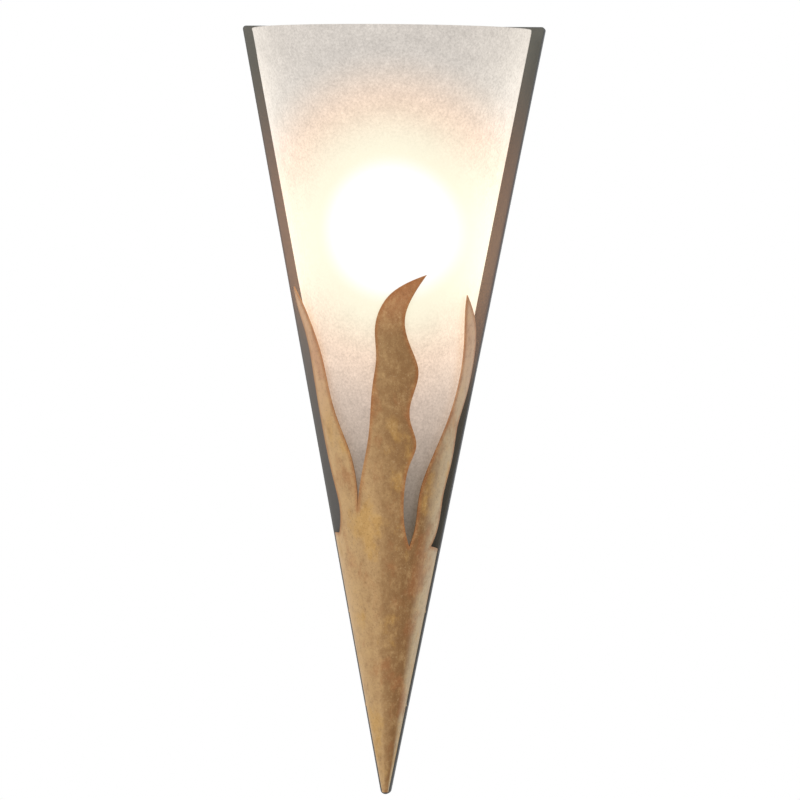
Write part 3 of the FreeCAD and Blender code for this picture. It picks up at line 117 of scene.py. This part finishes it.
def add_world():
    world = bpy.data.worlds.new("world")
    bpy.context.scene.world = world
    world.use_nodes = True
    tree = world.node_tree
    tree.nodes.clear()
    rays = tree.nodes.new("ShaderNodeLightPath")
    seen = tree.nodes.new("ShaderNodeMath")
    seen.operation = "MAXIMUM"
    tree.links.new(rays.outputs["Is Camera Ray"], seen.inputs[0])
    tree.links.new(rays.outputs["Is Transmission Ray"], seen.inputs[1])
    seen_too = tree.nodes.new("ShaderNodeMath")
    seen_too.operation = "MAXIMUM"
    tree.links.new(seen.outputs[0], seen_too.inputs[0])
    tree.links.new(rays.outputs["Is Glossy Ray"], seen_too.inputs[1])
    soft = tree.nodes.new("ShaderNodeBackground")
    soft.inputs["Color"].default_value = (1, 1, 1, 1)
    soft.inputs["Strength"].default_value = WORLD_LIGHT
    white = tree.nodes.new("ShaderNodeBackground")
    white.inputs["Color"].default_value = (1, 1, 1, 1)
    white.inputs["Strength"].default_value = 1.0
    mix = tree.nodes.new("ShaderNodeMixShader")
    tree.links.new(seen_too.outputs[0], mix.inputs["Fac"])
    tree.links.new(soft.outputs[0], mix.inputs[1])
    tree.links.new(white.outputs[0], mix.inputs[2])
    out = tree.nodes.new("ShaderNodeOutputWorld")
    tree.links.new(mix.outputs[0], out.inputs["Surface"])


def add_floor():
    """A pale floor well below the light."""
    height = PLATE_LOW.z - FLOOR_DROP
    mesh = bpy.data.meshes.new("floor")
    corners = [(FLOOR_REACH * x, FLOOR_REACH * y, height) for x, y in ((-1, -1), (1, -1), (1, 1), (-1, 1))]
    mesh.from_pydata(corners, [], [(0, 1, 2, 3)])
    floor = bpy.data.objects.new("floor", mesh)
    bpy.context.scene.collection.objects.link(floor)
    floor.data.materials.append(paint("floor_paint", (0.86, 0.86, 0.85), 0.8))


# ---- node helpers ----------------------------------------------------------------------


class Tree:
    """A material's node tree with short ways to add nodes; values may be numbers or sockets."""

    def __init__(self, name):
        self.material = bpy.data.materials.new(name)
        self.material.use_nodes = True
        self.tree = self.material.node_tree
        self.tree.nodes.clear()
        self.output = self.tree.nodes.new("ShaderNodeOutputMaterial")

    def node(self, kind, settings=None, **inputs):
        made = self.tree.nodes.new("ShaderNode" + kind)
        for name, value in (settings or {}).items():
            setattr(made, name, value)
        for name, value in inputs.items():
            self.put(made.inputs[name.replace("_", " ")], value)
        return made

    def put(self, socket, value):
        if isinstance(value, bpy.types.NodeSocket):
            self.tree.links.new(value, socket)
        else:
            socket.default_value = value

    def math(self, operation, first, second=0.0, third=0.0):
        made = self.tree.nodes.new("ShaderNodeMath")
        made.operation = operation
        for socket, value in zip(made.inputs, (first, second, third)):
            self.put(socket, value)
        return made.outputs[0]

    def mix(self, share, first, second, blend="MIX"):
        made = self.tree.nodes.new("ShaderNodeMix")
        made.data_type = "RGBA"
        made.blend_type = blend
        self.put(made.inputs["Factor"], share)
        self.put(made.inputs["A"], rgba(first))
        self.put(made.inputs["B"], rgba(second))
        return made.outputs["Result"]

    def noise(self, scale, detail=3.0, roughness=0.55, vector=None, stretch=None):
        made = self.tree.nodes.new("ShaderNodeTexNoise")
        made.inputs["Scale"].default_value = scale
        made.inputs["Detail"].default_value = detail
        made.inputs["Roughness"].default_value = roughness
        source = vector or self.place()
        if stretch:
            source = self.node("Mapping", Vector=source, Scale=stretch).outputs[0]
        self.tree.links.new(source, made.inputs["Vector"])
        return made.outputs["Fac"]

    def place(self):
        """The part's own coordinates."""
        return self.node("TexCoord").outputs["Object"]

    def split(self, vector):
        """The three numbers of a vector."""
        return self.node("SeparateXYZ", Vector=vector).outputs

    def reach(self, vector, middle):
        """Distance from a point of the object's XZ plane, whatever the depth."""
        x, _, z = self.split(vector)
        across = self.math("POWER", self.math("SUBTRACT", x, middle.x), 2.0)
        up = self.math("POWER", self.math("SUBTRACT", z, middle.z), 2.0)
        return self.math("SQRT", self.math("ADD", across, up))

    def step(self, value, start, end):
        """A smooth rise from 0 at start to 1 at end."""
        made = self.node("MapRange", {"interpolation_type": "SMOOTHSTEP"}, Value=value)
        made.inputs["From Min"].default_value = start
        made.inputs["From Max"].default_value = end
        return made.outputs["Result"]

    def bump(self, height, distance, strength=1.0):
        made = self.node("Bump", Height=height, Distance=distance, Strength=strength)
        return made.outputs[0]

    def surface(self, shader):
        self.tree.links.new(shader, self.output.inputs["Surface"])
        return self.material


def rgba(colour):
    if isinstance(colour, bpy.types.NodeSocket):
        return colour
    if isinstance(colour, (int, float)):
        return (colour, colour, colour, 1)
    return tuple(colour) + (1,) if len(colour) == 3 else tuple(colour)


def linear(code):
    """A colour given as it looks on a screen, six hexadecimal digits, in linear light."""
    parts = [int(code[i : i + 2], 16) / 255 for i in (0, 2, 4)]
    return tuple(p / 12.92 if p <= 0.04045 else ((p + 0.055) / 1.055) ** 2.4 for p in parts)


PAINT_SPREAD = 0.06


def paint(name, colour, roughness, metallic=0.0):
    """A painted, moulded or plated surface with a little unevenness in colour and gloss."""
    t = Tree(name)
    broad = t.noise(22, 4)
    fine = t.noise(900, 2)
    darker = [c * (1 - PAINT_SPREAD * 3) for c in colour]
    shade = t.mix(t.math("MULTIPLY", broad, PAINT_SPREAD * 4), colour, darker)
    rough = t.math("MULTIPLY_ADD", broad, 0.16, roughness - 0.08)
    shader = t.node("BsdfPrincipled", Base_Color=shade, Roughness=rough, Normal=t.bump(fine, 0.0004, 0.35))
    shader.inputs["Metallic"].default_value = metallic
    return t.surface(shader.outputs[0])


# ---- the gilt cup, with a fine outer surface -------------------------------------------

SLOPE_COS = math.cos(math.atan(FLANK_SLOPE))
SLOPE_SIN = math.sin(math.atan(FLANK_SLOPE))
OPEN_RIM_START = FLANK_POINT + 0.205
FINE_STEP = 0.0022


def flat_place(point):
    """Where a point of the cup lies when its cone is laid flat, with the apex at the origin."""
    slant = (point.z - FLANK_POINT) / SLOPE_COS
    turn = math.atan2(point.x, PLATE_FRONT - point.y) * SLOPE_SIN
    return Vector((slant * math.sin(turn), slant * math.cos(turn)))


def rolled_place(flat, inset):
    """The point of the cone, drawn in level by an inset, above a place of the flat pattern."""
    height = flat.length * SLOPE_COS
    turn = math.atan2(flat.x, flat.y) / SLOPE_SIN
    radius = height * FLANK_SLOPE - inset
    return Vector((radius * math.sin(turn), PLATE_FRONT - radius * math.cos(turn), height + FLANK_POINT))


def inset_of(point):
    """How far a point lies inside the plate's flanks turned into a cone, measured level."""
    radius = math.hypot(point.x, PLATE_FRONT - point.y)
    return (point.z - FLANK_POINT) * FLANK_SLOPE - radius


def welded_triangles(node):
    """The node's triangles with every place named once, in the frame's own coordinates."""
    places = {}
    points = []
    numbers = []
    for vertex in node.data.vertices:
        point = node.matrix_world @ vertex.co
        key = tuple(round(c * 1e6) for c in point)
        if key not in places:
            places[key] = len(points)
            points.append(point)
        numbers.append(places[key])
    node.data.calc_loop_triangles()
    triangles = [tuple(numbers[i] for i in t.vertices) for t in node.data.loop_triangles]
    return points, [t for t in triangles if len(set(t)) == 3]


def outline_of(triangles):
    """The closed loop of edges that belong to one triangle only."""
    seen = {}
    for a, b, c in triangles:
        for edge in ((a, b), (b, c), (c, a)):
            seen[edge] = True
    onward = {a: b for a, b in seen if (b, a) not in seen}
    first = next(iter(onward))
    loop = [first]
    while onward[loop[-1]] != first:
        loop.append(onward[loop[-1]])
    return loop


def fine_pattern(border):
    """The border with a grid of places inside it, joined into small even triangles, and nothing else."""
    low = Vector((min(p.x for p in border), min(p.y for p in border)))
    high = Vector((max(p.x for p in border), max(p.y for p in border)))
    grid = []
    for row in range(int((high.y - low.y) / FINE_STEP)):
        shift = FINE_STEP / 2 * (row % 2)
        for column in range(int((high.x - low.x) / FINE_STEP)):
            grid.append(low + Vector((column * FINE_STEP + shift, (row + 0.5) * FINE_STEP)))
    tree = KDTree(len(border))
    for index, place in enumerate(border):
        tree.insert(place.to_3d(), index)
    tree.balance()
    spaced = [place for place in grid if tree.find(place.to_3d())[2] > FINE_STEP * 0.6]
    ring = list(range(len(border)))
    made = delaunay_2d_cdt(border + spaced, [], [ring], 1, 1e-6)
    places, faces = made[0], made[2]
    used = sorted({i for face in faces for i in face})
    renumber = {old: new for new, old in enumerate(used)}
    return [places[i] for i in used], [tuple(renumber[i] for i in face) for face in faces]


def rim_distance(places, border, rim):
    """For each flat place, how far it lies from the open rim with its flames."""
    dense = []
    for index in rim:
        start = border[index]
        end = border[(index + 1) % len(border)]
        count = max(1, int((end - start).length / 0.0004))
        dense.extend(start.lerp(end, step / count) for step in range(count))
    tree = KDTree(len(dense))
    for index, place in enumerate(dense):
        tree.insert(place.to_3d(), index)
    tree.balance()
    return [tree.find(place.to_3d())[2] for place in places]


def add_gilt_cup(finish):
    """The cup with its outer face in fine triangles, each corner knowing its distance to the rim."""
    node = nodes["flame_cup"]
    points, triangles = welded_triangles(node)
    insets = [inset_of(point) for point in points]
    margin = sorted(inset for inset, point in zip(insets, points) if point.z > OPEN_RIM_START)[0]
    outer = [t for t in triangles if all(abs(insets[i] - margin) < 1e-5 for i in t)]
    others = [t for t in triangles if not all(abs(insets[i] - margin) < 1e-5 for i in t)]
    loop = outline_of(outer)
    border = [flat_place(points[i]) for i in loop]
    rim = [k for k, i in enumerate(loop) if points[i].z > OPEN_RIM_START and PLATE_FRONT - points[i].y > 0.0005]
    flat, faces = fine_pattern(border)
    skin = [rolled_place(place, margin) for place in flat]
    used = sorted({i for t in others for i in t})
    renumber = {old: len(skin) + k for k, old in enumerate(used)}
    rest = [points[i] for i in used]
    mesh = bpy.data.meshes.new("gilt_cup")
    outward = [tuple(f) for f in faces]
    sample = [skin[i] for i in outward[0]]
    normal = (sample[1] - sample[0]).cross(sample[2] - sample[0])
    if normal.dot(Vector((sample[0].x, sample[0].y - PLATE_FRONT, 0))) < 0:
        outward = [tuple(reversed(f)) for f in outward]
    mesh.from_pydata(skin + rest, [], outward + [tuple(renumber[i] for i in t) for t in others])
    near = rim_distance(flat, border, rim)
    edge_near = rim_distance([flat_place(point) for point in rest], border, rim)
    attribute = mesh.attributes.new("rim", "FLOAT", "POINT")
    attribute.data.foreach_set("value", near + edge_near)
    mesh.shade_smooth()
    mesh.set_sharp_from_angle(angle=math.radians(30))
    cup = bpy.data.objects.new("gilt_cup", mesh)
    bpy.context.scene.collection.objects.link(cup)
    mesh.materials.append(finish)
    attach(cup, "sconce")
    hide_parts("flame_cup")


# ---- main materials --------------------------------------------------------------------


PLATE_TONES = (linear("56564f"), linear("66635c"))
PLATE_PAINTED_GLOW = linear("846c60")
PLATE_SHADE_LEFT = linear("6b6967")
PLATE_SHADE_RIGHT = linear("464239")
PLATE_BEND_SHADE = linear("36383d")
# The painted shade on the plate's foot starts higher on the left; its border is a line that leans by this slope.
FOOT_LEAN = 0.42
FOOT_START = -0.14
FOOT_FULL = -0.19


def plate_paint():
    """Grey, with painted shade at its foot and bent edge, and painted warm light near the bulb for the light
    that leaks past the glass.
    """
    t = Tree("plate_paint")
    broad = t.noise(14, 5, 0.6)
    fine = t.noise(1400, 2)
    across, depth, height = t.split(t.place())
    shade = t.mix(broad, *PLATE_TONES)
    # Painted light: warmer near the bulb, for the light that leaks past the glass.
    painted_glow = t.step(t.reach(t.place(), GLOW), 0.18, 0.085)
    shade = t.mix(t.math("MULTIPLY", painted_glow, 0.7), shade, PLATE_PAINTED_GLOW)
    # Painted shade on the plate's foot, lighter on the left than on the right.
    low = t.step(t.math("MULTIPLY_ADD", across, FOOT_LEAN, height), FOOT_START, FOOT_FULL)
    foot_shade_tone = t.mix(t.step(across, -0.02, 0.02), PLATE_SHADE_LEFT, PLATE_SHADE_RIGHT)
    shade = t.mix(t.math("MULTIPLY", low, 0.85), shade, foot_shade_tone)
    # Painted shade on the bent edge, behind the plate's front face.
    painted_bend_shade = t.step(depth, PLATE_FRONT + 0.0002, PLATE_FRONT + 0.0012)
    shade = t.mix(t.math("MULTIPLY", painted_bend_shade, 0.8), shade, PLATE_BEND_SHADE)
    rough = t.math("MULTIPLY_ADD", broad, 0.2, 0.42)
    shader = t.node("BsdfPrincipled", Base_Color=shade, Roughness=rough, Normal=t.bump(fine, 0.0003, 0.4))
    shader.inputs["Specular IOR Level"].default_value = 0.3
    return t.surface(shader.outputs[0])


# The glow painted on the lit glass in linear light: a white core that falls off by way of cream and peach to
# grey, and to a dimmer grey low down, painted shade where the cup shades the glass. Distances are from the hot
# spot.
GLOW_SPOT = GLOW + Vector((0.008, 0, 0.002))
LIT_WHITE = (1.1, 1.1, 1.1)
LIT_CREAM = (1.0, 0.95, 0.75)
LIT_PEACH = (0.9, 0.7, 0.55)
LIT_GREY = (0.65, 0.6, 0.55)
LOW_GREY = (0.75, 0.6, 0.5)
LOW_DIM = (0.18, 0.15, 0.12)
# The glass's own pale tone, and a darker tone in the slits between the flames, painted shade where the cup
# shades the glass.
GLASS_BODY = 0.24
SLIT_SHADED_BODY = 0.06
# Where each tone starts and where it is full, as distances from the hot spot.
WHITE_FALL = (0.06, 0.04)
CREAM_FALL = (0.105, 0.055)
PEACH_FALL = (0.14, 0.09)
DIM_FALL = (0.24, 0.09)


def shade_glass():
    """Frosted white glass: dim by itself, with a painted glow from the bulb behind it, painted shade low down
    and a painted sheen on its flanks.
    """
    t = Tree("shade_glass")
    place = t.node("NewGeometry").outputs["Position"]
    # Painted glow: the emission falls off with distance from the hot spot.
    near = t.reach(place, GLOW_SPOT)
    height = t.split(place)[2]
    below = t.mix(t.step(near, *DIM_FALL), LOW_DIM, LOW_GREY)
    look = t.mix(t.step(height, GLOW.z - 0.03, GLOW.z + 0.03), below, LIT_GREY)
    look = t.mix(t.step(near, *PEACH_FALL), look, LIT_PEACH)
    look = t.mix(t.step(near, *CREAM_FALL), look, LIT_CREAM)
    look = t.mix(t.step(near, *WHITE_FALL), look, LIT_WHITE)
    # Painted sheen: the flanks, where they turn sideways, are lightened as if they mirrored the white
    # surroundings.
    sideways = t.math("ABSOLUTE", t.split(t.node("NewGeometry").outputs["Normal"])[0])
    painted_side_sheen = t.math("MULTIPLY", t.math("POWER", sideways, 4.0), t.step(height, GLOW.z - 0.2, GLOW.z))
    strength = t.math("MULTIPLY_ADD", t.step(height, 0.03, 0.08), -0.17, 0.38)
    look = t.mix(t.math("MULTIPLY", painted_side_sheen, strength), look, (1.0, 0.92, 0.78), "ADD")
    grain = t.noise(520, 3, 0.75)
    patches = t.noise(90, 4, 0.65)
    mottle = t.math("MULTIPLY_ADD", grain, 0.85, 0.575)
    mottle = t.math("MULTIPLY", mottle, t.math("MULTIPLY_ADD", patches, 0.36, 0.82))
    mottled = t.node("CombineColor", Red=mottle, Green=mottle, Blue=mottle).outputs[0]
    glow = t.mix(t.step(near, 0.05, 0.105), look, mottled, "MULTIPLY")
    # Painted shade: the glass's base tone is darker low down, between the flames.
    tone_with_painted_shade = t.math("MULTIPLY_ADD", t.step(height, -0.25, -0.13), GLASS_BODY - SLIT_SHADED_BODY, SLIT_SHADED_BODY)
    body = t.node("CombineColor", Red=tone_with_painted_shade, Green=tone_with_painted_shade, Blue=tone_with_painted_shade).outputs[0]
    glow = t.mix(1.0, glow, body, "SUBTRACT")
    shader = t.node(
        "BsdfPrincipled",
        Base_Color=body,
        Roughness=0.6,
        Normal=t.bump(grain, 0.0005, 0.4),
        Emission_Color=glow,
    )
    shader.inputs["Emission Strength"].default_value = 1.0
    shader.inputs["Specular IOR Level"].default_value = 0.25
    return t.surface(shader.outputs[0])


# The gilding in linear light, with a painted reflection of the room: lit from the left, deepest right of the
# middle, pale on the right flank.
GOLD_LIT = (0.65, 0.42, 0.2)
GOLD_REFLECTED_DARK = (0.25, 0.12, 0.035)
GOLD_REFLECTED_PALE = (0.55, 0.42, 0.26)
GOLD_RED_PATCH = linear("a5683a")
GOLD_LIGHT_PATCH = linear("c89a52")
GOLD_GLOW_TIP = linear("b8794c")
GOLD_GLOW_BLUSH = linear("dcaa8c")
GOLD_RIM = linear("a3622f")
GOLD_WORN = (linear("dcb67e"), linear("74481c"))
GOLD_SPECKS = (linear("e0c69a"), linear("6f5230"))


def gilt():
    """Worn gold leaf with red-brown patches and fine light specks, painted reflection bands, a painted highlight
    streak and painted glow near the bulb.
    """
    t = Tree("gilt_sheet")
    place = t.place()
    x, y, z = t.split(place)
    turn = t.math("ARCTAN2", x, t.math("SUBTRACT", PLATE_FRONT, y))
    wander = t.noise(30, 3, 0.6, vector=place, stretch=(1, 1, 0.25))
    turn = t.math("ADD", turn, t.math("MULTIPLY_ADD", wander, 0.3, -0.15))
    share = t.math("MULTIPLY_ADD", turn, 1 / math.pi, 0.5)
    # Painted reflection: upright bands by the turn round the cup, dark right of the middle and pale on the right
    # flank.
    painted_reflection_bands = t.mix(t.step(share, 0.1, 0.7), GOLD_LIT, GOLD_REFLECTED_DARK)
    # Painted highlight: a soft light streak left of the middle.
    painted_highlight_streak = t.math("MULTIPLY", t.step(share, 0.34, 0.42), t.step(share, 0.5, 0.42))
    painted_reflection_bands = t.mix(t.math("MULTIPLY", painted_highlight_streak, 0.3), painted_reflection_bands, GOLD_LIT)
    painted_reflection_bands = t.mix(t.step(share, 0.72, 0.86), painted_reflection_bands, GOLD_REFLECTED_PALE)
    patches = t.noise(42, 5, 0.6, vector=place, stretch=(1, 1, 0.6))
    redder = t.math("MULTIPLY", t.step(patches, 0.52, 0.68), 0.5)
    colour = t.mix(redder, painted_reflection_bands, GOLD_RED_PATCH)
    lighter = t.math("MULTIPLY", t.step(patches, 0.47, 0.34), t.step(z, -0.19, -0.25))
    colour = t.mix(t.math("MULTIPLY", lighter, 0.6), colour, GOLD_LIGHT_PATCH)
    rim = t.node("Attribute", {"attribute_name": "rim"}).outputs["Fac"]
    near = t.reach(place, GLOW)
    # Painted glow from the lit glass on the flame tips near the bulb.
    painted_glow_tip = t.math("MULTIPLY", t.step(near, 0.085, 0.045), 0.7)
    colour = t.mix(painted_glow_tip, colour, GOLD_GLOW_TIP)
    # Painted glow from the lit glass on the outer flames near the bulb.
    outward = t.step(t.math("ABSOLUTE", x), 0.03, 0.05)
    painted_glow_blush = t.math("MULTIPLY", t.math("MULTIPLY", t.step(near, 0.17, 0.10), outward), 0.5)
    colour = t.mix(painted_glow_blush, colour, GOLD_GLOW_BLUSH)
    colour = t.mix(t.math("MULTIPLY", t.step(rim, 0.0042, 0.0004), 0.6), colour, GOLD_RIM)
    worn = t.noise(150, 6, 0.75, vector=place, stretch=(1, 1, 0.7))
    colour = t.mix(t.math("MULTIPLY", t.step(worn, 0.46, 0.72), 0.34), colour, GOLD_WORN[0])
    colour = t.mix(t.math("MULTIPLY", t.step(worn, 0.52, 0.28), 0.34), colour, GOLD_WORN[1])
    specks = t.noise(620, 3, 0.75)
    colour = t.mix(t.math("MULTIPLY", t.step(specks, 0.56, 0.70), 0.2), colour, GOLD_SPECKS[0])
    colour = t.mix(t.math("MULTIPLY", t.step(specks, 0.46, 0.32), 0.35), colour, GOLD_SPECKS[1])
    rough = t.math("MULTIPLY_ADD", specks, 0.3, 0.35)
    shader = t.node("BsdfPrincipled", Base_Color=colour, Roughness=rough, Normal=t.bump(specks, 0.0004, 0.5))
    shader.inputs["Metallic"].default_value = 0.35
    return t.surface(shader.outputs[0])


def bulb_glass():
    t = Tree("bulb_glass")
    shader = t.node(
        "BsdfPrincipled", Base_Color=rgba(linear("fff6e4")), Roughness=0.3, Emission_Color=rgba(linear("ffe2b8"))
    )
    shader.inputs["Emission Strength"].default_value = 6.0
    return t.surface(shader.outputs[0])


def finish_of_slots():
    return {
        "plate_paint": plate_paint(),
        "gilt_sheet": gilt(),
        "shade_glass": shade_glass(),
        "bulb_glass": bulb_glass(),
        "black_glass": paint("black_glass", linear("18181c"), 0.15),
        "zinc_steel": paint("zinc_steel", linear("b9bcbf"), 0.38, metallic=1.0),
        "nickel": paint("nickel", linear("c6c3bb"), 0.18, metallic=1.0),
        "contact_brass": paint("contact_brass", linear("c8a45c"), 0.3, metallic=1.0),
        "bulb_metal": paint("bulb_metal", linear("c9c9c9"), 0.3, metallic=1.0),
        "tungsten": paint("tungsten", linear("8d8b88"), 0.4, metallic=1.0),
        "porcelain": paint("porcelain", linear("ece9e2"), 0.45),
        "holder_plastic": paint("holder_plastic", linear("e6e3da"), 0.4),
        "block_plastic": paint("block_plastic", linear("dedbd2"), 0.45),
        "silicone": paint("silicone", linear("dedede"), 0.5),
        "black_rubber": paint("black_rubber", linear("262626"), 0.6),
        "live_insulation": paint("live_insulation", linear("6b3f28"), 0.45),
        "neutral_insulation": paint("neutral_insulation", linear("2f62a8"), 0.45),
        "earth_insulation": paint("earth_insulation", linear("6aa33a"), 0.45),
    }


def dress_nodes(finishes):
    for part in frame["record"]["subparts"]:
        node = nodes[part["node"]]
        finish = finishes[part["material_slot"]]
        if not node.material_slots:
            node.data.materials.append(finish)
        for slot in node.material_slots:
            slot.material = finish


add_camera()
add_world()
add_floor()
add_lamp("key", (-1.6, -2.6, 1.2), 1.4, 30)
add_lamp("fill", (2.2, -2.2, 0.3), 1.6, 12)
slot_finishes = finish_of_slots()
dress_nodes(slot_finishes)
add_gilt_cup(slot_finishes["gilt_sheet"])

bpy.context.scene.view_settings.view_transform = "Standard"
